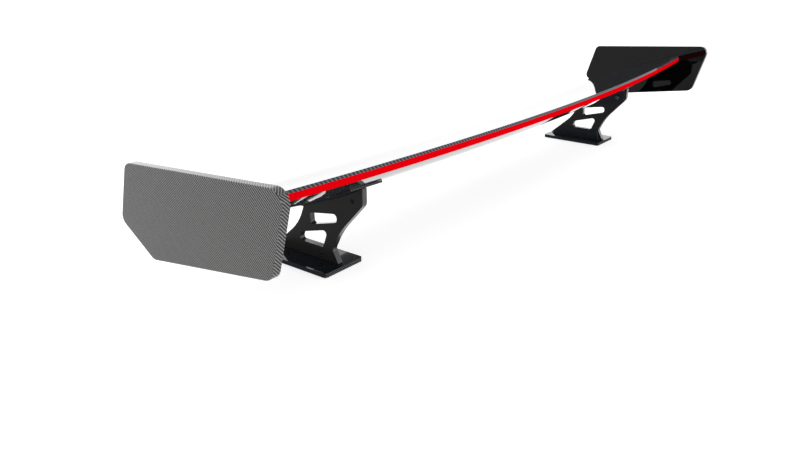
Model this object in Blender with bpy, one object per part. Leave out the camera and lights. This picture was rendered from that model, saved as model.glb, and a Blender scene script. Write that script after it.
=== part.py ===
"""Racing rear wing: a hollow carbon blade on two uprights, with a light bar in its trailing edge
and an end plate at each tip.

Metres, +Z up, +Y towards the front of the car, +X towards its right. The wing stands on the pads
under its two feet, at z = 0, and the origin is under the middle of the whole wing. Heights in the
dimensions below are above the feet's top faces, and every piece hangs on one empty that lifts that
plane to its place above the pads.
"""
import math

import bmesh
import bpy
from mathutils import Matrix, Vector

# ---- whole wing ------------------------------------------------------------------------------
HALF_SPAN = 0.700           # middle to the outer face of an end plate
GAP = 0.0003                # clearance kept between pieces that touch
SPAN_STATIONS = 17          # sections along the blade
SIDES = (("left", -1.0), ("right", 1.0))
DATUM = "feet_top_plane"

# ---- blade -----------------------------------------------------------------------------------
# The leading and trailing edges are even curves in x: value = c0 + c2 x^2 + c4 x^4.
LEADING_Y = (0.1414, 0.0, -0.0525)
LEADING_Z = (0.0728, 0.0571, -0.0379)
TRAILING_Y = (-0.1338, 0.1260, -0.0484)
TRAILING_Z = (0.1660, -0.0171, 0.0251)  # underside of the trailing edge
CAMBER = 0.025
CAMBER_PLACE = 0.54
THICKNESS = 0.138
NOSE_CROWDING = 1.35            # above 1, section points lie closer together near the nose
CHORD_STEP = 1e-5               # for the slope of the section, as a share of the chord
SECTION_POINTS = 15
SKIN = 0.0016

# ---- light bar -------------------------------------------------------------------------------
LENS_HEIGHT = 0.0081
LENS_DEPTH = 0.0020
LENS_UNDERCUT = 0.0014      # the lens foot follows the slope of the underside
LIP_CORNER_INSET = 0.0004
LIP_HEIGHT = 0.0046         # strip of upper skin above the lens
CHANNEL_DEPTH = 0.0075
CHANNEL_BOTTOM = 0.0009
CHANNEL_HEIGHT = 0.0048
CHANNEL_WALL = 0.0007
BOARD_THICKNESS = 0.0010

# ---- structure inside the blade --------------------------------------------------------------
SPAR_REAR = 0.060
SPAR_DEPTH = 0.026
SPAR_WALL = 0.0022
RIB_THICKNESS = 0.0055
RIB_GLUE = 0.0014           # glue line between a rib and the skins
RIB_STEPS = 16
RIB_REAR_CLEARANCE = 0.013  # from the trailing edge to the rear of a rib
HARDPOINT_Y = (-0.046, 0.056)
HARDPOINT_HEIGHT = 0.009
HARDPOINT_INSET = 0.002         # from the saddle's sides

# ---- end plates ------------------------------------------------------------------------------
PLATE_THICKNESS = 0.012
PLATE_WALL = 0.0016
PLATE_EDGE_RADIUS = 0.0014
# corners (y, z, corner radius), clockwise from the top rear corner when seen from the right
PLATE_CORNERS = (
    (-0.1542, 0.2048, 0.017),
    (0.1301, 0.1836, 0.013),
    (0.1542, 0.1039, 0.013),
    (0.0930, 0.0632, 0.013),
    (-0.1246, 0.0958, 0.016),
)
DOWEL_RADIUS = 0.0025
DOWEL_LENGTH = 0.011
DOWEL_Y = {"front": 0.040, "rear": -0.028}
DOWEL_END_GAP = 0.001
DOWEL_BORE_REACH = 0.030
PLATE_EDGE_STEPS = 3

# ---- uprights --------------------------------------------------------------------------------
UPRIGHT_OUTER_X = 0.4655
UPRIGHT_THICKNESS = 0.0094
WEB_THICKNESS = 0.0029
# outline below the saddle (y, z, corner radius), from the top rear corner to the top front corner
UPRIGHT_EDGE = (
    (-0.0520, 0.1004, 0.0120),
    (-0.0070, 0.0510, 0.1200),
    (0.0075, 0.0214, 0.0070),
    (-0.0040, 0.0005, 0.0010),
    (0.1275, 0.0005, 0.0010),
    (0.0715, 0.0500, 0.0850),
)
UPRIGHT_TOP_Y = (-0.0520, 0.0620)
UPRIGHT_TOP_RADIUS = 0.0006
UPRIGHT_TOP_STEPS = 8
WINDOW_CUTTER_X = (0.480, 0.440)
UPPER_WINDOW = (
    (-0.0027, 0.0780, 0.0058),
    (0.0500, 0.0690, 0.0040),
    (0.0490, 0.0512, 0.0040),
    (-0.0027, 0.0652, 0.0058),
)
LOWER_WINDOW = (
    (0.0150, 0.0499, 0.0055),
    (0.0690, 0.0349, 0.0055),
    (0.0755, 0.0206, 0.0055),
    (0.0262, 0.0206, 0.0055),
)

# ---- saddles under the blade -----------------------------------------------------------------
SADDLE_X = (0.4235, 0.4900)
SADDLE_Y = (-0.0525, 0.0650)
SADDLE_THICKNESS = 0.0036
SADDLE_STATIONS = (4, 9)
SADDLE_WEB_Y = (-0.0480, 0.0560)
SADDLE_WEB_NOTCH = 0.006
SADDLE_WEB_DROP = (0.0270, 0.0075)  # height below the flange, at the rear and at the front

# ---- feet ------------------------------------------------------------------------------------
FOOT_X = (0.4205, 0.5009)
FOOT_Y = (-0.0112, 0.1288)
FOOT_THICKNESS = 0.0066
FOOT_CORNER = 0.005
FOOT_CORNER_STEPS = 4
FOOT_WEB_Y = (0.0035, 0.1040)
FOOT_WEB_TOP = 0.0196
FOOT_WEB_SLOPE = 0.012
FOOT_WEB_STEP = 0.001           # upright part of the web's front end
PAD_THICKNESS = 0.0009
PAD_INSET = 0.003
RIDE_HEIGHT = FOOT_THICKNESS + GAP + PAD_THICKNESS
INSERT_RADIUS = 0.0045
INSERT_BORE = 0.0025
INSERT_HEIGHT = 0.0032
INSERT_PLACES = {"front": (0.4835, 0.100), "rear": (0.4400, 0.018)}

# ---- screws ----------------------------------------------------------------------------------
SHANK_RADIUS = 0.0020
HEAD_RADIUS = 0.0035
HEAD_HEIGHT = 0.0040
SOCKET_RADIUS = 0.00173
SOCKET_DEPTH = 0.0022
COUNTERBORE_DEPTH = 0.0052
SCREW_PLACES = {"foot_front": (0.1002, 0.0080), "foot_rear": (0.0296, 0.0079), "top": (-0.0336, 0.1047)}
NUT_RADIUS = 0.00404
NUT_HEIGHT = 0.0032
WASHER_RADIUS = 0.0045
WASHER_HEIGHT = 0.0008
SADDLE_SCREW_X = {"inboard": 0.4380, "outboard": 0.4780}
SADDLE_SCREW_Y = {"front": 0.0450, "rear": -0.0300}
SADDLE_SCREW_HEAD = 0.0036
SADDLE_SCREW_CONE = 0.0018
SADDLE_SCREW_LENGTH = 0.0105
SCREW_CHAMFER = 0.0004
SCREW_TIP_INSET = 0.0004        # how far a foot screw stops short of its web's far face
THREAD_BEYOND_NUT = 0.002
COUNTERSINK_RIM = 0.0002        # straight rim above the cone of a countersunk head
COUNTERSINK_DEPTH = 0.0001      # head below the flange's face
DRIVE_RADIUS = 0.0012
DRIVE_DEPTH = 0.0012
SCREW_BORE_REACH = 0.020
CUTTER_OVERRUN = 0.002          # how far a cutter starts outside the face that it enters
SLOPE_STEP = 0.002              # half the distance over which a flange's slope is taken
ROUND = 14                      # sides of a small round piece
SMALL_ROUND = 10
ARC_STEPS = 5                   # straight pieces in a rounded corner
SMALLEST_RADIUS = 0.0004        # of a rounded corner that is moved inwards
NUT_SIDES = 12                  # round bore and six flats

# name: base colour, metallic, roughness
FINISHES = {
    "carbon_gloss": ((0.030, 0.031, 0.034), 0.0, 0.12),
    "carbon_satin": ((0.020, 0.020, 0.022), 0.0, 0.35),
    "carbon_plain": ((0.040, 0.040, 0.042), 0.0, 0.50),
    "foam": ((0.55, 0.50, 0.36), 0.0, 0.90),
    "lens_red": ((0.80, 0.01, 0.01), 0.0, 0.20),
    "aluminium": ((0.60, 0.61, 0.62), 1.0, 0.35),
    "circuit_board": ((0.02, 0.16, 0.06), 0.0, 0.50),
    "black_steel": ((0.018, 0.018, 0.019), 1.0, 0.38),
    "plated_steel": ((0.55, 0.55, 0.56), 1.0, 0.30),
    "rubber": ((0.015, 0.015, 0.015), 0.0, 0.85),
}


# ---- helpers ---------------------------------------------------------------------------------
def clear_scene():
    for item in list(bpy.data.objects):
        bpy.data.objects.remove(item, do_unlink=True)


def add_datum():
    """Empty at the feet's top faces, which every piece is parented to."""
    datum = bpy.data.objects.new(DATUM, None)
    datum.location = (0.0, 0.0, RIDE_HEIGHT)
    bpy.context.scene.collection.objects.link(datum)


def finish_of(name):
    material = bpy.data.materials.get(name)
    if material:
        return material
    colour, metallic, roughness = FINISHES[name]
    material = bpy.data.materials.new(name)
    material.use_nodes = True
    shader = material.node_tree.nodes["Principled BSDF"]
    shader.inputs["Base Color"].default_value = (*colour, 1.0)
    shader.inputs["Metallic"].default_value = metallic
    shader.inputs["Roughness"].default_value = roughness
    return material


def add_object(name, bm, finish, smooth_angle=None):
    """Turn a bmesh into a named object with outward faces."""
    bmesh.ops.remove_doubles(bm, verts=bm.verts, dist=1e-6)
    bmesh.ops.recalc_face_normals(bm, faces=bm.faces)
    mesh = bpy.data.meshes.new(name)
    bm.to_mesh(mesh)
    bm.free()
    if smooth_angle is not None:
        mesh.shade_smooth()
        mesh.set_sharp_from_angle(angle=math.radians(smooth_angle))
    thing = bpy.data.objects.new(name, mesh)
    thing.parent = bpy.data.objects[DATUM]
    bpy.context.scene.collection.objects.link(thing)
    mesh.materials.append(finish_of(finish))
    return thing


def boolean(thing, tool, operation):
    """Cut or join with a tool that stays in the scene as a hidden guide."""
    tool.hide_render = True
    tool.display_type = "WIRE"
    change = thing.modifiers.new(operation.lower(), "BOOLEAN")
    change.operation = operation
    change.solver = "EXACT"
    change.object = tool


def loft(rings):
    """Closed solid through rings of equal length."""
    bm = bmesh.new()
    loops = [[bm.verts.new(point) for point in ring] for ring in rings]
    count = len(rings[0])
    for first, second in zip(loops, loops[1:]):
        for i in range(count):
            j = (i + 1) % count
            bm.faces.new((first[i], first[j], second[j], second[i]))
    bm.faces.new(list(reversed(loops[0])))
    bm.faces.new(loops[-1])
    return bm


def rounded(corners, steps=ARC_STEPS):
    """Outline through (y, z, radius) corners, each one a tangent arc."""
    outline = []
    count = len(corners)
    for i, (y, z, radius) in enumerate(corners):
        here = Vector((y, z))
        before = (Vector(corners[i - 1][:2]) - here).normalized()
        after = (Vector(corners[(i + 1) % count][:2]) - here).normalized()
        half = before.angle(after) / 2.0
        centre = here + (before + after).normalized() * (radius / math.sin(half))
        start = here + before * (radius / math.tan(half)) - centre
        turn = math.pi - 2.0 * half
        if before.x * after.y - before.y * after.x > 0.0:
            turn = -turn
        for k in range(steps + 1):
            outline.append(centre + Matrix.Rotation(turn * k / steps, 2) @ start)
    return outline


def inset(corners, distance):
    """The same rounded outline, moved inwards by a distance."""
    count = len(corners)
    centre = sum((Vector(c[:2]) for c in corners), Vector((0.0, 0.0))) / count
    lines = []
    for i in range(count):
        start = Vector(corners[i][:2])
        along = (Vector(corners[(i + 1) % count][:2]) - start).normalized()
        normal = Vector((-along.y, along.x))
        if normal.dot(centre - start) < 0.0:
            normal = -normal
        lines.append((start + normal * distance, along))
    moved = []
    for i in range(count):
        (p, u), (q, v) = lines[i - 1], lines[i]
        cross = u.x * v.y - u.y * v.x
        step = ((q - p).x * v.y - (q - p).y * v.x) / cross
        point = p + u * step
        moved.append((point.x, point.y, max(corners[i][2] - distance, SMALLEST_RADIUS)))
    return moved


def plate(outline, x_start, x_end):
    """Flat plate from a (y, z) outline between two x values."""
    return loft([[(x, p[0], p[1]) for p in outline] for x in (x_start, x_end)])


def lathe(profile, sides=ROUND):
    """Closed turned solid about z from (radius, height) points that start and end on the axis."""
    bm = bmesh.new()
    rings = []
    for radius, height in profile:
        if radius == 0.0:
            rings.append([bm.verts.new((0.0, 0.0, height))])
            continue
        angles = [2.0 * math.pi * k / sides for k in range(sides)]
        rings.append([bm.verts.new((radius * math.cos(a), radius * math.sin(a), height)) for a in angles])
    for lower, upper in zip(rings, rings[1:]):
        for k in range(sides):
            j = (k + 1) % sides
            corners = [lower[k % len(lower)], lower[j % len(lower)], upper[j % len(upper)], upper[k % len(upper)]]
            bm.faces.new(list(dict.fromkeys(corners)))
    return bm


def ring(inner, outer, height, sides=ROUND, outer_sides=None):
    """Washer-like solid about z, from 0 to a height; the outside may be a hexagon."""
    bm = bmesh.new()
    levels = []
    for radius, z in ((inner, 0.0), (outer, 0.0), (outer, height), (inner, height)):
        points = []
        for k in range(sides):
            angle = 2.0 * math.pi * k / sides
            reach = radius
            if outer_sides and radius == outer:
                sector = 2.0 * math.pi / outer_sides
                apothem = radius * math.cos(sector / 2.0)
                reach = apothem / math.cos((angle % sector) - sector / 2.0)
            points.append(bm.verts.new((reach * math.cos(angle), reach * math.sin(angle), z)))
        levels.append(points)
    for i in range(4):
        first, second = levels[i], levels[(i + 1) % 4]
        for k in range(sides):
            j = (k + 1) % sides
            bm.faces.new((first[k], first[j], second[j], second[k]))
    return bm


def place(thing, origin, axis):
    """Put an object's z axis along a direction, at a point."""
    turn = Vector((0.0, 0.0, 1.0)).rotation_difference(Vector(axis))
    thing.rotation_mode = "QUATERNION"
    thing.rotation_quaternion = turn
    thing.location = origin


# ---- blade section ---------------------------------------------------------------------------
def even_curve(coefficients, x):
    c0, c2, c4 = coefficients
    return c0 + c2 * x ** 2 + c4 * x ** 4


def section(x, side, thinner=0.0):
    """Points (y, z) of one surface from nose to trailing edge; side is 1 above and -1 below."""
    nose = Vector((even_curve(LEADING_Y, x), even_curve(LEADING_Z, x)))
    back_height = LENS_HEIGHT + GAP + LIP_HEIGHT if side > 0 else 0.0
    tail = Vector((even_curve(TRAILING_Y, x), even_curve(TRAILING_Z, x) + back_height))
    chord = tail - nose
    length = chord.length
    along = chord / length
    up = Vector((along.y, -along.x))

    def outer(s):
        if s < CAMBER_PLACE:
            camber = CAMBER / CAMBER_PLACE ** 2 * (2 * CAMBER_PLACE * s - s * s)
        else:
            rest = 1 - CAMBER_PLACE
            camber = CAMBER / rest ** 2 * ((1 - 2 * CAMBER_PLACE) + 2 * CAMBER_PLACE * s - s * s)
        half = 5 * THICKNESS * (0.2969 * math.sqrt(s) - 0.126 * s - 0.3516 * s ** 2
                                + 0.2843 * s ** 3 - 0.1036 * s ** 4)
        return Vector((s * length, (side * half - camber) * length))

    points = []
    for k in range(SECTION_POINTS + 1):
        s = (1.0 - math.cos(math.pi / 2.0 * k / SECTION_POINTS)) ** NOSE_CROWDING
        step = CHORD_STEP
        tangent = (outer(min(s + step, 1.0)) - outer(max(s - step, 0.0))).normalized()
        if k == 0:
            tangent = Vector((0.0, side))
        inward = Vector((tangent.y, -tangent.x)) * side
        spot = outer(s) + inward * thinner
        if spot.y * side < GAP / 2.0 and s < 0.1:
            spot.y = side * GAP / 2.0
        points.append(nose + along * spot.x + up * spot.y)
    return points


def surface_height(x, y, side, thinner=0.0):
    """Height of a blade surface at (x, y)."""
    points = section(x, side, thinner)
    for front, rear in zip(points, points[1:]):
        if rear.x <= y <= front.x:
            share = (y - rear.x) / (front.x - rear.x)
            return rear.y + share * (front.y - rear.y)
    return points[-1].y


def stations(x_end, count=SPAN_STATIONS):
    return [-x_end + 2.0 * x_end * k / (count - 1) for k in range(count)]


def blade_end():
    return HALF_SPAN - PLATE_THICKNESS - GAP


# ---- blade pieces ----------------------------------------------------------------------------
def upper_skin():
    rings = []
    for x in stations(blade_end()):
        outer = section(x, 1.0)
        tail = outer[-1]
        inner_face = tail.x + SKIN
        lip_foot = tail.y - LIP_HEIGHT
        inner = [p for p in section(x, 1.0, SKIN)][:SECTION_POINTS - 1]
        corner = Vector((inner_face, surface_height(x, inner_face + LIP_CORNER_INSET, 1.0, SKIN)))
        back = [Vector((tail.x, lip_foot)), Vector((inner_face, lip_foot)), corner]
        outline = outer + back + list(reversed(inner))
        rings.append([(x, p[0], p[1]) for p in outline])
    add_object("blade_upper_skin", loft(rings), "carbon_gloss", 40)


def lower_skin():
    rings = []
    for x in stations(blade_end()):
        rear = even_curve(TRAILING_Y, x) + LENS_DEPTH + GAP
        outer = section(x, -1.0)[:SECTION_POINTS]
        inner = section(x, -1.0, SKIN)[:SECTION_POINTS - 1]
        edge = [Vector((rear, surface_height(x, rear, -1.0))),
                Vector((rear, surface_height(x, rear, -1.0, SKIN)))]
        outline = outer + edge + list(reversed(inner))
        rings.append([(x, p[0], p[1]) for p in outline])
    return add_object("blade_lower_skin", loft(rings), "carbon_gloss", 40)


def swept_bar(name, finish, profile, x_end=None):
    """Bar that follows the trailing edge; the profile is (forward of it, above its underside)."""
    rings = []
    for x in stations(x_end or blade_end()):
        y = even_curve(TRAILING_Y, x)
        z = even_curve(TRAILING_Z, x)
        rings.append([(x, y + forward, z + above) for forward, above in profile])
    add_object(name, loft(rings), finish, 40)


def light_bar():
    swept_bar("light_lens", "lens_red", (
        (0.0, 0.0), (LENS_DEPTH, -LENS_UNDERCUT), (LENS_DEPTH, LENS_HEIGHT), (0.0, LENS_HEIGHT)))
    rear = LENS_DEPTH + GAP
    front = rear + CHANNEL_DEPTH
    low, high = CHANNEL_BOTTOM, CHANNEL_BOTTOM + CHANNEL_HEIGHT
    wall = CHANNEL_WALL
    swept_bar("light_channel", "aluminium", (
        (rear, low), (front, low), (front, high), (rear, high),
        (rear, high - wall), (front - wall, high - wall), (front - wall, low + wall), (rear, low + wall)))
    board_front = front - wall - GAP
    swept_bar("light_board", "circuit_board", (
        (board_front - BOARD_THICKNESS, low + wall + GAP), (board_front, low + wall + GAP),
        (board_front, high - wall - GAP), (board_front - BOARD_THICKNESS, high - wall - GAP)),
        blade_end() - 0.004)


def spar():
    rings = []
    rear, front = SPAR_REAR, SPAR_REAR + SPAR_DEPTH
    wall = SPAR_WALL
    clearance = SKIN + GAP
    for x in stations(blade_end() - RIB_THICKNESS):
        low = [surface_height(x, y, -1.0, clearance) for y in (rear, rear + wall, front)]
        high = [surface_height(x, y, 1.0, clearance) for y in (rear, rear + wall, front)]
        outline = [(rear, low[0]), (rear + wall, low[1]), (front, low[2]), (front, low[2] + wall),
                   (rear + wall, low[1] + wall), (rear + wall, high[1] - wall), (front, high[2] - wall),
                   (front, high[2]), (rear + wall, high[1]), (rear, high[0])]
        rings.append([(x, y, z) for y, z in outline])
    add_object("blade_spar", loft(rings), "carbon_plain", 40)


def rib(name, x_centre):
    """Solid rib between the spar and the light bar."""
    clearance = SKIN + RIB_GLUE
    rings = []
    for x in (x_centre - RIB_THICKNESS / 2.0, x_centre + RIB_THICKNESS / 2.0):
        rear = even_curve(TRAILING_Y, x_centre) + RIB_REAR_CLEARANCE
        front = SPAR_REAR - GAP
        ys = [rear + (front - rear) * k / RIB_STEPS for k in range(RIB_STEPS + 1)]
        low = [(x, y, surface_height(x, y, -1.0, clearance)) for y in ys]
        high = [(x, y, surface_height(x, y, 1.0, clearance)) for y in reversed(ys)]
        rings.append(low + high)
    return add_object(name, loft(rings), "foam")


def slab(x_range, y_range, z_low, z_high, counts):
    """Solid between two height functions over a rectangle."""
    nx, ny = counts
    rings = []
    for i in range(nx):
        x = x_range[0] + (x_range[1] - x_range[0]) * i / (nx - 1)
        ys = [y_range[0] + (y_range[1] - y_range[0]) * j / (ny - 1) for j in range(ny)]
        rings.append([(x, y, z_low(x, y)) for y in ys] + [(x, y, z_high(x, y)) for y in reversed(ys)])
    return loft(rings)


def flange_top(x, y):
    return surface_height(x, y, -1.0) - GAP


def flange_bottom(x, y):
    return flange_top(x, y) - SADDLE_THICKNESS


# ---- pieces at each end ----------------------------------------------------------------------
def end_plate(label, sign, end_rib):
    outer_x = sign * HALF_SPAN
    inner_x = sign * (HALF_SPAN - PLATE_THICKNESS)
    floor_x = sign * (HALF_SPAN - PLATE_WALL)
    radius = PLATE_EDGE_RADIUS
    layers = []
    for k in range(PLATE_EDGE_STEPS + 1):
        angle = math.pi / 2.0 * k / PLATE_EDGE_STEPS
        layers.append((radius * (1.0 - math.sin(angle)), outer_x - sign * radius * (1.0 - math.cos(angle))))
    layers += [(0.0, inner_x), (PLATE_WALL, inner_x), (PLATE_WALL, floor_x)]
    rings = [[(x, p.x, p.y) for p in rounded(inset(PLATE_CORNERS, depth))] for depth, x in layers]
    add_object("endplate_shell_" + label, loft(rings), "carbon_gloss", 35)

    fitted = rounded(inset(PLATE_CORNERS, PLATE_WALL + GAP))
    skin_inside = inner_x + sign * PLATE_WALL
    inner_skin = add_object("endplate_inner_skin_" + label, plate(fitted, inner_x, skin_inside), "carbon_gloss")
    core = add_object("endplate_core_" + label,
                      plate(fitted, skin_inside + sign * GAP, floor_x - sign * GAP), "foam")
    for where, y in DOWEL_Y.items():
        low = surface_height(blade_end(), y, -1.0)
        high = surface_height(blade_end(), y, 1.0)
        start = (inner_x - sign * (RIB_THICKNESS - DOWEL_END_GAP), y, (low + high) / 2.0)
        profile = ((0.0, 0.0), (DOWEL_RADIUS, 0.0), (DOWEL_RADIUS, DOWEL_LENGTH), (0.0, DOWEL_LENGTH))
        dowel = add_object("endplate_dowel_%s_%s" % (label, where), lathe(profile), "plated_steel", 40)
        place(dowel, start, (sign, 0.0, 0.0))
        bore = DOWEL_RADIUS + GAP
        reach = DOWEL_BORE_REACH
        cutter = add_object("bore_dowel_%s_%s" % (label, where),
                            lathe(((0.0, -reach), (bore, -reach), (bore, reach), (0.0, reach))), "plated_steel")
        place(cutter, start, (sign, 0.0, 0.0))
        for piece in (inner_skin, core, end_rib):
            boolean(piece, cutter, "DIFFERENCE")


# ---- pieces at each upright ------------------------------------------------------------------
def cap_screw(name, origin, direction, length):
    """Socket cap screw; the origin is under its head and the shank runs along the direction."""
    shank, head = SHANK_RADIUS, HEAD_RADIUS
    top = -HEAD_HEIGHT
    bevel = SCREW_CHAMFER
    profile = ((0.0, length), (shank - bevel, length), (shank, length - bevel), (shank, 0.0), (head, 0.0),
               (head, top + bevel), (head - bevel, top), (SOCKET_RADIUS, top),
               (SOCKET_RADIUS, top + SOCKET_DEPTH), (0.0, top + SOCKET_DEPTH))
    screw = add_object(name, lathe(profile), "black_steel", 40)
    place(screw, origin, direction)


def upright(label, sign):
    outer_x = sign * UPRIGHT_OUTER_X
    inner_x = sign * (UPRIGHT_OUTER_X - UPRIGHT_THICKNESS)
    clearance = 2.0 * GAP
    rear, front = UPRIGHT_TOP_Y
    top = []
    for k in range(UPRIGHT_TOP_STEPS + 1):
        y = front + (rear - front) * k / UPRIGHT_TOP_STEPS
        heights = [flange_bottom(x, y) for x in (outer_x, inner_x)]
        top.append(Vector((y, min(heights) - clearance)))
    ends = ((top[-1].x, top[-1].y, UPRIGHT_TOP_RADIUS),) + UPRIGHT_EDGE + (
        (top[0].x, top[0].y, UPRIGHT_TOP_RADIUS),)
    edge = rounded(ends)[ARC_STEPS + 1:-(ARC_STEPS + 1)]
    outline = top + edge
    body = add_object("upright_" + label, plate(outline, outer_x, inner_x), "carbon_satin")
    beyond, inside = (sign * x for x in WINDOW_CUTTER_X)
    for number, window in enumerate((UPPER_WINDOW, LOWER_WINDOW)):
        cutter = add_object("window_%s_%d" % (label, number),
                            plate(rounded(window), beyond, inside), "carbon_satin")
        boolean(body, cutter, "DIFFERENCE")
    return body


def saddle(label, sign):
    x_range = [sign * x for x in SADDLE_X]
    flange = add_object("saddle_" + label,
                        slab(x_range, SADDLE_Y, flange_bottom, flange_top, SADDLE_STATIONS), "carbon_satin", 30)
    web_outer = sign * (UPRIGHT_OUTER_X - UPRIGHT_THICKNESS - GAP)
    web_inner = web_outer - sign * WEB_THICKNESS
    rear, front = SADDLE_WEB_Y
    ys = [rear + (front - rear) * k / UPRIGHT_TOP_STEPS for k in range(UPRIGHT_TOP_STEPS + 1)]
    top = [(y, flange_top(web_outer, y) - SADDLE_THICKNESS / 2.0) for y in ys]
    bottom = [(y, flange_bottom(web_outer, y) - drop)
              for y, drop in ((front, SADDLE_WEB_DROP[1]), (rear + SADDLE_WEB_NOTCH, SADDLE_WEB_DROP[0]))]
    bottom.append((rear, bottom[-1][1] + SADDLE_WEB_NOTCH))
    web = add_object("web_%s_top" % label, plate(top + bottom, web_outer, web_inner), "carbon_satin")
    boolean(flange, web, "UNION")
    return flange, web_inner


def hardpoint(label, sign):
    x_range = [sign * (SADDLE_X[0] + HARDPOINT_INSET), sign * (SADDLE_X[1] - HARDPOINT_INSET)]

    def low(x, y):
        return surface_height(x, y, -1.0, SKIN + GAP)

    def high(x, y):
        return low(x, y) + HARDPOINT_HEIGHT

    return add_object("hardpoint_" + label, slab(x_range, HARDPOINT_Y, low, high, SADDLE_STATIONS), "aluminium")


def foot(label, sign):
    x_low, x_high = FOOT_X
    y_low, y_high = FOOT_Y
    corners = [(x_low, y_low, FOOT_CORNER), (x_high, y_low, FOOT_CORNER),
               (x_high, y_high, FOOT_CORNER), (x_low, y_high, FOOT_CORNER)]
    base_outline = rounded(corners, FOOT_CORNER_STEPS)
    base = add_object("foot_" + label, loft([[(sign * p.x, p.y, z) for p in base_outline]
                                             for z in (-FOOT_THICKNESS, 0.0)]), "carbon_gloss")
    web_outer = sign * (UPRIGHT_OUTER_X - UPRIGHT_THICKNESS - GAP)
    rear, front = FOOT_WEB_Y
    root = -FOOT_THICKNESS / 2.0
    slope = FOOT_WEB_SLOPE
    outline = [(rear, root), (front + slope, root), (front + slope, FOOT_WEB_STEP), (front, FOOT_WEB_TOP),
               (rear + slope / 2.0, FOOT_WEB_TOP)]
    web = add_object("web_%s_foot" % label,
                     plate(outline, web_outer, web_outer - sign * WEB_THICKNESS), "carbon_gloss")
    boolean(base, web, "UNION")

    pad_outline = rounded(inset(corners, PAD_INSET), FOOT_CORNER_STEPS)
    foot_bottom = -FOOT_THICKNESS
    pad_bottom = -RIDE_HEIGHT
    pad = add_object("foot_pad_" + label, loft([[(sign * p.x, p.y, z) for p in pad_outline]
                                                for z in (pad_bottom, foot_bottom - GAP)]), "rubber")
    for where, (x, y) in INSERT_PLACES.items():
        insert = add_object("foot_insert_%s_%s" % (label, where),
                            ring(INSERT_BORE, INSERT_RADIUS, INSERT_HEIGHT), "plated_steel", 40)
        insert.location = (sign * x, y, foot_bottom)
        bore = INSERT_RADIUS + GAP
        depth = RIDE_HEIGHT - FOOT_THICKNESS + INSERT_HEIGHT + GAP
        cutter = add_object("bore_insert_%s_%s" % (label, where),
                            lathe(((0.0, -CUTTER_OVERRUN), (bore, -CUTTER_OVERRUN), (bore, depth), (0.0, depth))),
                            "rubber")
        cutter.location = (sign * x, y, pad_bottom)
        boolean(base, cutter, "DIFFERENCE")
        boolean(pad, cutter, "DIFFERENCE")
    return base


def side_screws(label, sign, body, flange, base, saddle_web_inner):
    """Screws through the upright: two into the foot's web, one through the saddle's web."""
    outer_x = sign * UPRIGHT_OUTER_X
    seat_x = outer_x - sign * COUNTERBORE_DEPTH
    to_web = UPRIGHT_THICKNESS - COUNTERBORE_DEPTH + GAP
    for where, (y, z) in SCREW_PLACES.items():
        through = where == "top"
        length = to_web + WEB_THICKNESS - SCREW_TIP_INSET
        if through:
            length = to_web + WEB_THICKNESS + WASHER_HEIGHT + NUT_HEIGHT + THREAD_BEYOND_NUT
        cap_screw("screw_%s_%s" % (label, where), (seat_x + sign * GAP, y, z), (-sign, 0.0, 0.0), length)
        head, shank = HEAD_RADIUS + GAP, SHANK_RADIUS + GAP
        start, step, end = -CUTTER_OVERRUN, COUNTERBORE_DEPTH, SCREW_BORE_REACH
        profile = ((0.0, start), (head, start), (head, step), (shank, step), (shank, end), (0.0, end))
        cutter = add_object("bore_%s_%s" % (label, where), lathe(profile), "black_steel")
        place(cutter, (outer_x, y, z), (-sign, 0.0, 0.0))
        boolean(body, cutter, "DIFFERENCE")
        boolean(flange if through else base, cutter, "DIFFERENCE")
        if through:
            washer = add_object("washer_" + label, ring(SHANK_RADIUS + GAP, WASHER_RADIUS, WASHER_HEIGHT),
                                "black_steel", 40)
            place(washer, (saddle_web_inner - sign * GAP, y, z), (-sign, 0.0, 0.0))
            nut = add_object("nut_" + label, ring(SHANK_RADIUS + GAP, NUT_RADIUS, NUT_HEIGHT, NUT_SIDES, 6),
                             "plated_steel", 40)
            nut_x = saddle_web_inner - sign * (2.0 * GAP + WASHER_HEIGHT)
            place(nut, (nut_x, y, z), (-sign, 0.0, 0.0))


def saddle_screws(label, sign, flange, skin, block):
    """Countersunk screws from below, through the flange and the skin into the hardpoint."""
    for across, x in SADDLE_SCREW_X.items():
        for along, y in SADDLE_SCREW_Y.items():
            x_here = sign * x
            rise = flange_bottom(x_here, y + SLOPE_STEP) - flange_bottom(x_here, y - SLOPE_STEP)
            normal = Vector((0.0, -rise, 2.0 * SLOPE_STEP)).normalized()
            start = Vector((x_here, y, flange_bottom(x_here, y))) + normal * COUNTERSINK_DEPTH
            head, cone, shank = SADDLE_SCREW_HEAD, SADDLE_SCREW_CONE, SHANK_RADIUS
            length = SADDLE_SCREW_LENGTH
            rim = COUNTERSINK_RIM
            profile = ((0.0, length), (shank, length), (shank, cone), (head, rim), (head, 0.0),
                       (DRIVE_RADIUS, 0.0), (DRIVE_RADIUS, DRIVE_DEPTH), (0.0, DRIVE_DEPTH))
            name = "saddle_screw_%s_%s_%s" % (label, across, along)
            place(add_object(name, lathe(profile, SMALL_ROUND), "black_steel", 40), start, normal)
            head, shank = head + GAP, shank + GAP
            outside, end = -2.0 * CUTTER_OVERRUN, length + GAP
            hole = ((0.0, outside), (head, outside), (head, 2.0 * rim), (shank, cone + rim),
                    (shank, end), (0.0, end))
            cutter = add_object("hole_" + name, lathe(hole, SMALL_ROUND), "black_steel")
            place(cutter, start, normal)
            for piece in (flange, skin, block):
                boolean(piece, cutter, "DIFFERENCE")


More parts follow.
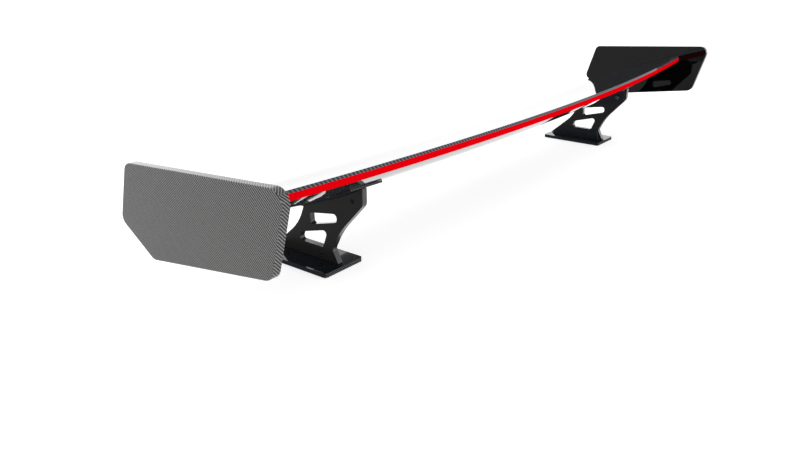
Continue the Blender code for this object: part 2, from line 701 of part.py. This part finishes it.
def build():
    clear_scene()
    add_datum()
    upper_skin()
    skin = lower_skin()
    light_bar()
    spar()
    rib("centre_rib", 0.0)
    for label, sign in SIDES:
        end_rib = rib("end_rib_" + label, sign * (blade_end() - RIB_THICKNESS / 2.0))
        end_plate(label, sign, end_rib)
        body = upright(label, sign)
        flange, web_inner = saddle(label, sign)
        block = hardpoint(label, sign)
        base = foot(label, sign)
        side_screws(label, sign, body, flange, base, web_inner)
        saddle_screws(label, sign, flange, skin, block)


build()
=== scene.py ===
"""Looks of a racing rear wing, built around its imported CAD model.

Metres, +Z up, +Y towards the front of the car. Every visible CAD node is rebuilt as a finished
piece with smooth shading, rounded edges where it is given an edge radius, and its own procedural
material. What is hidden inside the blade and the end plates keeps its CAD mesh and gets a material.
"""

import math

import bmesh
import bpy
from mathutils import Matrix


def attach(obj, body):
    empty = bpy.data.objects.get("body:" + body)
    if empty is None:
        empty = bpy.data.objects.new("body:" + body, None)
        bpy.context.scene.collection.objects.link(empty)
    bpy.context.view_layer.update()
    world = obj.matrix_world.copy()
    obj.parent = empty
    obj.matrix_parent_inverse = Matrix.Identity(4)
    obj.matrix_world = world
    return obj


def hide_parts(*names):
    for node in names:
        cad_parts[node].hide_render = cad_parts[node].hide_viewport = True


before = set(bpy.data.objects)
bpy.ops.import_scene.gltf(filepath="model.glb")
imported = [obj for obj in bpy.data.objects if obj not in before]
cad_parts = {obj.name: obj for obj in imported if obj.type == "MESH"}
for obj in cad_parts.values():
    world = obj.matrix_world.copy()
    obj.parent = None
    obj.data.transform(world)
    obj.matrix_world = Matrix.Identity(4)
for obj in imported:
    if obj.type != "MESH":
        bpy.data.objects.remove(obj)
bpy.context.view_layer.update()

# ---- camera and studio -----------------------------------------------------------------------
CAMERA_PLACE = (-1.1767, -0.6713, 0.4430)
CAMERA_HEADING = 52.04      # degrees from +Y towards +X
CAMERA_DOWN = 21.01         # degrees below the horizon
CAMERA_LENS = 33.05
SENSOR_WIDTH = 36.0
CAMERA_NEAR = 0.01
FLOOR_SIZE = 60.0
FLOOR_COLOUR = (0.50, 0.50, 0.50, 1.0)
FLOOR_PATCH_LIFT = 1.04
FLOOR_GLOW = 0.72           # the floor is a lit panel, so shadows on it stay faint
SKY_HORIZON = 3.4
SKY_OVERHEAD = 1.35
SKY_BAND = 0.30             # height of the bright band on the horizon, as a sine

# ---- weave -----------------------------------------------------------------------------------
TOW_WIDTH = 0.00103
PLY_TOW_WIDTH = 0.0016      # coarser cloth of the blade and of what is inside it
TWILL_REPEAT = 4.0          # tows in one repeat of the weave
TOP_TOW_LIMIT = 1.5         # steps 0 and 1 of a repeat have the lengthwise tow on top
TOW_ROUNDNESS = 0.5         # power that flattens the crown of a tow
TOW_SIDE_PAINTED_SHADE = 0.35            # painted shade: how much darker a tow is painted at its sides than at its crown
INWARD_LIMIT = -0.1         # of the place across the wing times the sideways part of the normal

# ---- finishes, as linear colours -------------------------------------------------------------
OUTER_TOWS = ((0.160, 0.160, 0.159, 1.0), (0.0002, 0.0002, 0.0002, 1.0))
INNER_TOWS = ((0.0018, 0.0018, 0.0018, 1.0), (0.0001, 0.0001, 0.0001, 1.0))
BLADE_TOWS = ((0.030, 0.033, 0.038, 1.0), (0.002, 0.002, 0.003, 1.0))
LIP_TOWS = ((0.080, 0.095, 0.115, 1.0), (0.002, 0.003, 0.006, 1.0))
FOOT_TOWS = ((0.014, 0.017, 0.023, 1.0), (0.002, 0.003, 0.005, 1.0))
CUT_EDGE_TOWS = ((0.085, 0.085, 0.088, 1.0), (0.002, 0.002, 0.002, 1.0))
RIM_SHADE = (0.012, 0.012, 0.012, 1.0)
SATIN_TOWS = ((0.0085, 0.0085, 0.0080, 1.0), (0.0055, 0.0055, 0.0052, 1.0))
LIGHT_COLOUR = (0.60, 0.0, 0.001, 1.0)
LIGHT_DIODE_PITCH = 0.0083
LIGHT_GLOW = (0.95, 1.06)   # between two diodes and over one
WORN_CARBON = (0.32, 0.32, 0.33, 1.0)
RUBBED_LACQUER = (0.10, 0.10, 0.10, 1.0)
BARE_METAL = (0.62, 0.61, 0.60, 1.0)
WHITE = (1.0, 1.0, 1.0, 1.0)

# ---- which way faces look, as the least cosine to an axis ------------------------------------
CUT_EDGE_FACING = 0.75
LEVEL_FACING = 0.7
PLATE_FACING = 0.6

# ---- wear and gloss (noise scales are per metre) ---------------------------------------------
PATCH_SCALE = 9.0
PATCH_LIFT = 1.16
PATCH_SHARE = (-0.10, 0.22)
CARBON_WEAR_SCALE = 240.0
CARBON_WEAR_SHARE = 0.12
CARBON_GLOSS_SCALE = 38.0
CARBON_GLOSS_SPREAD = 0.05
TOW_GLOSS = -0.06           # lengthwise tows are a little smoother
LACQUER_WAVE_SCALE = 14.0
LACQUER_WAVE_DEPTH = 0.00004
LACQUER_WAVE_STRENGTH = 0.15
SATIN_RUB_SCALE = 160.0
SATIN_RUB_SHARE = 0.20
SATIN_ROUGHNESS = (0.34, 0.52)
SATIN_RIM_COAT = 1.0
SATIN_FACE_COAT = 0.12
GRAIN_SCALE = 900.0
GRAIN_DEPTH = 0.00004
STREAK_SQUASH = 0.08        # turning marks are drawn out along Y
METAL_DULLING = 0.72
METAL_WEAR_SCALE = 400.0
METAL_WEAR_SHARE = 0.5
METAL_ROUGHNESS_SPREAD = 0.2
MATT_ROUGHNESS_SPREAD = 0.12


class Tree:
    """Short calls for the node tree of one material."""

    def __init__(self, name):
        self.material = bpy.data.materials.new(name)
        self.material.use_nodes = True
        self.nodes = self.material.node_tree.nodes
        self.links = self.material.node_tree.links
        self.shader = self.nodes["Principled BSDF"]

    def put(self, target, value):
        if hasattr(value, "is_output"):
            self.links.new(value, target)
        else:
            target.default_value = value

    def add(self, kind, *values, **settings):
        node = self.nodes.new(kind)
        for name, value in settings.items():
            setattr(node, name, value)
        for index, value in enumerate(values):
            if value is not None:
                self.put(node.inputs[index], value)
        return node

    def math(self, operation, *values):
        return self.add("ShaderNodeMath", *values, operation=operation).outputs[0]

    def mix(self, factor, first, second):
        node = self.add("ShaderNodeMix", factor, data_type="RGBA")
        self.put(node.inputs[6], first)
        self.put(node.inputs[7], second)
        return node.outputs[2]

    def noise(self, scale, detail=4.0):
        place = self.add("ShaderNodeTexCoord").outputs["Object"]
        return self.add("ShaderNodeTexNoise", place, None, scale, detail).outputs[0]

    def facing(self, axis, least):
        """1 where the surface faces along an axis, either way, by at least this cosine."""
        normal = self.add("ShaderNodeTexCoord").outputs["Normal"]
        share = self.math("ABSOLUTE", self.add("ShaderNodeSeparateXYZ", normal).outputs[axis])
        return self.math("GREATER_THAN", share, least)

    def inward(self):
        """1 where the surface faces the middle of the wing."""
        place, normal = (self.add("ShaderNodeSeparateXYZ", self.add("ShaderNodeTexCoord").outputs[
            name]).outputs[0] for name in ("Object", "Normal"))
        return self.math("LESS_THAN", self.math("MULTIPLY", place, normal), INWARD_LIMIT)

    def rounding(self, axis):
        """1 in the middle of an edge rounded between a face along axis and its rim, 0 off it."""
        normal = self.add("ShaderNodeTexCoord").outputs["Normal"]
        share = self.math("ABSOLUTE", self.add("ShaderNodeSeparateXYZ", normal).outputs[axis])
        return self.math("MULTIPLY", self.math("MULTIPLY", share, 4.0),
                         self.math("SUBTRACT", 1.0, share))

    def spread(self, value, low, high):
        """value, from 0 to 1, as a number from low to high."""
        return self.math("MULTIPLY_ADD", value, high - low, low)

    def set(self, **values):
        for name, value in values.items():
            self.put(self.shader.inputs[name.replace("_", " ")], value)

    def bump(self, height, depth, strength=1.0):
        node = self.add("ShaderNodeBump")
        node.inputs["Strength"].default_value = strength
        node.inputs["Distance"].default_value = depth
        self.put(node.inputs["Height"], height)
        return node.outputs[0]


def twill(tree, tow):
    """2x2 twill laid on whichever of the three main planes a face lies nearest to, and turned
    over on the front and rear faces, so that its diagonals run on round an upright corner.

    Returns where the lengthwise tows are on top (0 or 1) and how high the cloth stands (0 to 1).
    """
    source = tree.add("ShaderNodeTexCoord")
    place = tree.add("ShaderNodeSeparateXYZ", source.outputs["Object"]).outputs
    normal = tree.add("ShaderNodeSeparateXYZ", source.outputs["Normal"]).outputs
    across, along, up = (tree.math("ABSOLUTE", axis) for axis in normal)
    side = tree.math("GREATER_THAN", across, tree.math("MAXIMUM", along, up))
    flat = tree.math("GREATER_THAN", up, along)
    x, y, z = place
    turned = tree.math("MULTIPLY", x, tree.spread(flat, -1.0, 1.0))
    length = tree.math("MULTIPLY_ADD", side, tree.math("SUBTRACT", y, turned), turned)
    flat_only = tree.math("MULTIPLY", flat, tree.math("SUBTRACT", 1.0, side))
    width = tree.math("MULTIPLY_ADD", flat_only, tree.math("SUBTRACT", y, z), z)
    u, v = (tree.math("DIVIDE", value, tow) for value in (length, width))
    column, row = (tree.math("FLOOR", value) for value in (u, v))

    def float_shape(run, other, start):
        part = tree.math("SUBTRACT", run, start)
        part = tree.math("MULTIPLY", tree.math("FLOORED_MODULO", part, TWILL_REPEAT),
                         math.pi / 2.0)
        crown = tree.math("ABSOLUTE", tree.math("SINE", tree.math("MULTIPLY", other, math.pi)))
        arch = tree.math("ABSOLUTE", tree.math("SINE", part))
        return tree.math("POWER", tree.math("MULTIPLY", crown, arch), TOW_ROUNDNESS)

    lengthwise = float_shape(u, v, row)
    crosswise = float_shape(v, u, tree.math("ADD", column, 1.0))
    step = tree.math("FLOORED_MODULO", tree.math("SUBTRACT", column, row), TWILL_REPEAT)
    over = tree.math("LESS_THAN", step, TOP_TOW_LIMIT)
    height = tree.math("MULTIPLY_ADD", over, tree.math("SUBTRACT", lengthwise, crosswise),
                       crosswise)
    return over, height


def carbon(name, tows, roughness, relief, coat_roughness, coat_ior, coat=1.0, specular=0.0,
           tow_width=TOW_WIDTH, wear_axis=None, edge_tows=None, cut_gloss=None, inward_tows=None):
    """Woven carbon under lacquer: tow colours, painted shade at the sides of each tow, cloth
    relief, uneven gloss and worn edges.

    wear_axis is the axis that the broad faces of a flat piece look along; its edges are rubbed.
    edge_tows are the colours on a cut edge that faces the front or the rear, and cut_gloss is how
    much lacquer there is on any upright face. inward_tows are the colours on the faces towards the
    middle of the wing.
    """
    tree = Tree(name)
    over, height = twill(tree, tow_width)
    bright, dark = tows
    shade = tree.mix(over, dark, bright)
    if inward_tows:
        shade = tree.mix(tree.inward(), shade, tree.mix(over, inward_tows[1], inward_tows[0]))
    if edge_tows:
        shade = tree.mix(tree.facing(1, CUT_EDGE_FACING), shade,
                         tree.mix(over, edge_tows[1], edge_tows[0]))
    # painted shade: each tow is darkened from its crown towards its sides
    cloth = tree.mix(tree.spread(height, TOW_SIDE_PAINTED_SHADE, 0.0), shade, dark)
    patchy = tree.noise(PATCH_SCALE, 5.0)
    lift = tuple(channel * PATCH_LIFT for channel in bright[:3]) + (1.0,)
    cloth = tree.mix(tree.math("MULTIPLY", tree.spread(patchy, *PATCH_SHARE), over), cloth, lift)
    if wear_axis is not None:
        wear = tree.math("MULTIPLY", tree.rounding(wear_axis), tree.noise(CARBON_WEAR_SCALE, 2.0))
        cloth = tree.mix(tree.math("MULTIPLY", wear, CARBON_WEAR_SHARE), cloth, WORN_CARBON)
    rough = tree.math("ADD", tree.spread(tree.noise(CARBON_GLOSS_SCALE, 6.0),
                                         roughness - CARBON_GLOSS_SPREAD,
                                         roughness + CARBON_GLOSS_SPREAD),
                      tree.math("MULTIPLY", over, TOW_GLOSS))
    if cut_gloss is not None:
        coat = tree.spread(tree.facing(2, LEVEL_FACING), cut_gloss, coat)
    tree.set(Base_Color=cloth, Roughness=rough, Specular_IOR_Level=specular, Coat_Weight=coat,
             Coat_Roughness=coat_roughness, Coat_IOR=coat_ior, Normal=tree.bump(height, relief),
             Coat_Normal=tree.bump(tree.noise(LACQUER_WAVE_SCALE, 1.0), LACQUER_WAVE_DEPTH,
                                   LACQUER_WAVE_STRENGTH))
    return tree.material


def satin_plate():
    """Moulded plate under matt black lacquer, with fine grain and rubbed edges."""
    tree = Tree("satin_black_lacquer")
    over, height = twill(tree, TOW_WIDTH)
    bright, dark = SATIN_TOWS
    face = tree.facing(0, PLATE_FACING)
    body = tree.mix(face, RIM_SHADE, tree.mix(over, dark, bright))
    rubbed = tree.math("MULTIPLY", tree.rounding(0), tree.noise(SATIN_RUB_SCALE, 3.0))
    body = tree.mix(tree.math("MULTIPLY", rubbed, SATIN_RUB_SHARE), body, RUBBED_LACQUER)
    surface = tree.math("ADD", tree.math("MULTIPLY", height, 0.4), tree.noise(GRAIN_SCALE, 3.0))
    tree.set(Base_Color=body, Roughness=tree.spread(tree.noise(30.0, 5.0), *SATIN_ROUGHNESS),
             Specular_IOR_Level=0.05, Coat_IOR=1.5, Coat_Roughness=0.2,
             Coat_Weight=tree.spread(face, SATIN_RIM_COAT, SATIN_FACE_COAT),
             Normal=tree.bump(surface, GRAIN_DEPTH, 0.6))
    return tree.material


def light_strip():
    """Lit red lens: an even glow with a slight rise over each diode."""
    tree = Tree("lit_red_lens")
    place = tree.add("ShaderNodeTexCoord").outputs["Object"]
    across = tree.add("ShaderNodeSeparateXYZ", place).outputs[0]
    turn = tree.math("MULTIPLY", across, 2.0 * math.pi / LIGHT_DIODE_PITCH)
    over_diode = tree.math("MULTIPLY_ADD", tree.math("COSINE", turn), 0.5, 0.5)
    tree.set(Base_Color=(0.12, 0.0, 0.002, 1.0), Roughness=tree.spread(tree.noise(60.0), 0.55, 0.7),
             Specular_IOR_Level=0.0, Emission_Color=LIGHT_COLOUR,
             Emission_Strength=tree.spread(over_diode, *LIGHT_GLOW),
             Normal=tree.bump(tree.noise(700.0, 2.0), 0.00003, 0.3))
    return tree.material


def metal(name, colour, roughness, streaks, spots):
    """Machined metal: fine turning streaks, uneven plating and bare metal on worn edges."""
    tree = Tree(name)
    place = tree.add("ShaderNodeTexCoord").outputs["Object"]
    stretched = tree.add("ShaderNodeMapping", place)
    stretched.inputs["Scale"].default_value = (1.0, STREAK_SQUASH, 1.0)
    lines = tree.add("ShaderNodeTexNoise", stretched.outputs[0], None, streaks, 3.0).outputs[0]
    dull = tuple(channel * METAL_DULLING for channel in colour[:3]) + (1.0,)
    body = tree.mix(tree.noise(spots, 5.0), colour, dull)
    bare = tree.math("MULTIPLY", tree.rounding(0), tree.noise(METAL_WEAR_SCALE, 2.0))
    body = tree.mix(tree.math("MULTIPLY", bare, METAL_WEAR_SHARE), body, BARE_METAL)
    tree.set(Base_Color=body, Metallic=1.0,
             Roughness=tree.spread(lines, roughness, roughness + METAL_ROUGHNESS_SPREAD),
             Normal=tree.bump(lines, 0.00002, 0.5))
    return tree.material


def matt(name, first, second, scale, roughness, relief, cells=False):
    """Dull cast, foamed or laminated stuff: two mottled colours and a rough surface."""
    tree = Tree(name)
    if cells:
        place = tree.add("ShaderNodeTexCoord").outputs["Object"]
        mottle = tree.add("ShaderNodeTexVoronoi", place, None, scale).outputs["Distance"]
    else:
        mottle = tree.noise(scale, 5.0)
    tree.set(Base_Color=tree.mix(mottle, first, second),
             Roughness=tree.spread(tree.noise(scale / 3.0), roughness,
                                   min(roughness + MATT_ROUGHNESS_SPREAD, 1.0)),
             Normal=tree.bump(mottle, relief, 0.7))
    return tree.material


MATERIALS = {
    "outer_weave": carbon("carbon_outer_weave", OUTER_TOWS, roughness=0.34, relief=0.00006,
                          coat_roughness=0.05, coat_ior=1.27, wear_axis=0,
                          inward_tows=INNER_TOWS),
    "inner_gloss": carbon("carbon_inner_gloss", INNER_TOWS, roughness=0.40, relief=0.00003,
                          coat_roughness=0.015, coat_ior=1.26, wear_axis=0),
    "blade_gloss": carbon("carbon_blade_gloss", BLADE_TOWS, roughness=0.30, relief=0.00006,
                          coat_roughness=0.02, coat_ior=1.6, tow_width=PLY_TOW_WIDTH,
                          edge_tows=LIP_TOWS, cut_gloss=0.4),
    "foot_gloss": carbon("carbon_foot_gloss", FOOT_TOWS, roughness=0.30, relief=0.00002,
                         coat_roughness=0.03, coat_ior=1.5, wear_axis=2,
                         edge_tows=CUT_EDGE_TOWS, cut_gloss=0.12),
    "carbon_plain": carbon("carbon_bare", INNER_TOWS, roughness=0.55, relief=0.00020,
                           coat_roughness=0.3, coat_ior=1.5, coat=0.0, specular=0.4,
                           tow_width=PLY_TOW_WIDTH),
    "satin": satin_plate(),
    "lit_lens": light_strip(),
    "aluminium": metal("anodised_aluminium", (0.10, 0.10, 0.11, 1.0), roughness=0.28,
                       streaks=900.0, spots=60.0),
    "black_steel": metal("blackened_steel", (0.018, 0.018, 0.019, 1.0), roughness=0.34,
                         streaks=1200.0, spots=300.0),
    "plated_steel": metal("dark_plated_steel", (0.09, 0.09, 0.09, 1.0), roughness=0.30,
                          streaks=1500.0, spots=300.0),
    "circuit_board": matt("circuit_board", (0.02, 0.10, 0.03, 1.0), (0.03, 0.16, 0.05, 1.0),
                          scale=300.0, roughness=0.4, relief=0.00004),
    "foam_core": matt("foam_core", (0.62, 0.55, 0.38, 1.0), (0.50, 0.43, 0.28, 1.0),
                      scale=900.0, roughness=0.85, relief=0.0002, cells=True),
    "rubber": matt("rubber", (0.012, 0.012, 0.012, 1.0), (0.022, 0.022, 0.021, 1.0),
                   scale=500.0, roughness=0.72, relief=0.00005),
}

# ---- what each CAD node becomes --------------------------------------------------------------
# Start of the node's name, record slot, material, and edge radius in metres or None to keep the
# CAD mesh. The first row that fits a node counts.
FINISHES = (
    ("blade_upper_skin", "carbon_gloss", "blade_gloss", 0.0),
    ("blade_lower_skin", "carbon_gloss", "blade_gloss", 0.0),
    ("blade_spar", "carbon_plain", "carbon_plain", None),
    ("centre_rib", "carbon_plain", "carbon_plain", None),
    ("end_rib", "carbon_plain", "carbon_plain", None),
    ("hardpoint", "aluminium", "aluminium", None),
    ("light_lens", "lens_red", "lit_lens", 0.0),
    ("light_channel", "aluminium", "aluminium", None),
    ("light_board", "circuit_board", "circuit_board", None),
    ("endplate_shell", "carbon_gloss", "outer_weave", 0.0),
    ("endplate_inner_skin", "carbon_gloss", "inner_gloss", 0.0),
    ("endplate_core", "foam_core", "foam_core", None),
    ("endplate_dowel", "plated_steel", "plated_steel", None),
    ("upright", "carbon_satin", "satin", 0.0005),
    ("saddle_screw", "black_steel", "black_steel", 0.0),
    ("saddle", "carbon_satin", "foot_gloss", 0.0002),
    ("foot_pad", "rubber", "rubber", None),
    ("foot_insert", "plated_steel", "plated_steel", None),
    ("foot", "carbon_gloss", "foot_gloss", 0.0004),
    ("screw", "black_steel", "black_steel", 0.0001),
    ("washer", "black_steel", "black_steel", 0.0001),
    ("nut", "plated_steel", "plated_steel", 0.0001),
)
CURVED = ("blade", "light")  # lofted pieces, whose faces follow a curve along the span
SHARP_ANGLE = math.radians(32.0)
WELD_DISTANCE = 2e-6
FLAT_ANGLE = math.radians(0.2)
EDGE_SEGMENTS = 3


def finished(node, radius):
    """A finished piece in place of a CAD node: joined faces, edges rounded when a radius is given,
    smooth shading.
    """
    curved = node.startswith(CURVED)
    mesh = bpy.data.meshes.new(f"{node}_finished")
    work = bmesh.new()
    work.from_mesh(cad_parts[node].data)
    bmesh.ops.remove_doubles(work, verts=work.verts, dist=WELD_DISTANCE)
    if curved:
        bmesh.ops.join_triangles(work, faces=work.faces, angle_face_threshold=SHARP_ANGLE,
                                 angle_shape_threshold=math.pi)
    else:
        bmesh.ops.dissolve_limit(work, angle_limit=FLAT_ANGLE, verts=work.verts,
                                 edges=work.edges)
    if radius:
        sharp = [edge for edge in work.edges
                 if edge.is_manifold and edge.calc_face_angle() > SHARP_ANGLE]
        bmesh.ops.bevel(work, geom=sharp, offset=radius, segments=EDGE_SEGMENTS, profile=0.5,
                        affect="EDGES", clamp_overlap=True)
    for face in work.faces:
        face.smooth = True
    for edge in work.edges:
        edge.smooth = not (edge.is_manifold and edge.calc_face_angle() > SHARP_ANGLE)
    work.to_mesh(mesh)
    work.free()
    piece = bpy.data.objects.new(f"{node}_finished", mesh)
    bpy.context.scene.collection.objects.link(piece)
    if not curved:
        even = piece.modifiers.new("even_normals", "WEIGHTED_NORMAL")
        even.keep_sharp = True
    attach(piece, "root")
    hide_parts(node)
    return piece


def dress(thing, material):
    thing.data.materials.clear()
    thing.data.materials.append(material)


for node_name in sorted(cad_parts):
    slot, look, radius = next(row[1:] for row in FINISHES if node_name.startswith(row[0]))
    if radius is None:
        dress(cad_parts[node_name], MATERIALS[look])
        continue
    piece = finished(node_name, radius)
    dress(piece, MATERIALS[look])


# ---- studio ----------------------------------------------------------------------------------
def studio_floor():
    mesh = bpy.data.meshes.new("studio_floor")
    half = FLOOR_SIZE / 2.0
    mesh.from_pydata([(-half, -half, 0), (half, -half, 0), (half, half, 0), (-half, half, 0)], [],
                     [(0, 1, 2, 3)])
    floor = bpy.data.objects.new("studio_floor", mesh)
    bpy.context.scene.collection.objects.link(floor)
    tree = Tree("studio_floor")
    soft = tree.noise(3.0)
    paler = tuple(channel * FLOOR_PATCH_LIFT for channel in FLOOR_COLOUR[:3]) + (1.0,)
    tree.set(Base_Color=tree.mix(soft, FLOOR_COLOUR, paler),
             Roughness=tree.spread(soft, 0.85, 0.95), Specular_IOR_Level=0.0,
             Emission_Color=WHITE, Emission_Strength=FLOOR_GLOW)
    mesh.materials.append(tree.material)


def studio_sky():
    """Even light from all round, brighter in a band above the horizon."""
    world = bpy.data.worlds.new("studio")
    bpy.context.scene.world = world
    world.use_nodes = True
    nodes, links = world.node_tree.nodes, world.node_tree.links
    source = nodes.new("ShaderNodeTexCoord")
    axes = nodes.new("ShaderNodeSeparateXYZ")
    links.new(source.outputs["Generated"], axes.inputs[0])
    ramp = nodes.new("ShaderNodeMapRange")
    ramp.interpolation_type = "SMOOTHSTEP"
    for name, value in (("From Min", 0.0), ("From Max", SKY_BAND), ("To Min", SKY_HORIZON),
                        ("To Max", SKY_OVERHEAD)):
        ramp.inputs[name].default_value = value
    links.new(axes.outputs[2], ramp.inputs["Value"])
    links.new(ramp.outputs[0], nodes["Background"].inputs["Strength"])
    nodes["Background"].inputs["Color"].default_value = WHITE


def camera():
    data = bpy.data.cameras.new("camera")
    data.lens = CAMERA_LENS
    data.sensor_width = SENSOR_WIDTH
    data.clip_start = CAMERA_NEAR
    data.clip_end = FLOOR_SIZE * 2.0
    view = bpy.data.objects.new("camera", data)
    view.location = CAMERA_PLACE
    view.rotation_euler = (math.radians(90.0 - CAMERA_DOWN), 0.0, -math.radians(CAMERA_HEADING))
    bpy.context.scene.collection.objects.link(view)
    bpy.context.scene.camera = view


studio_floor()
studio_sky()
camera()
bpy.context.scene.view_settings.view_transform = "Standard"
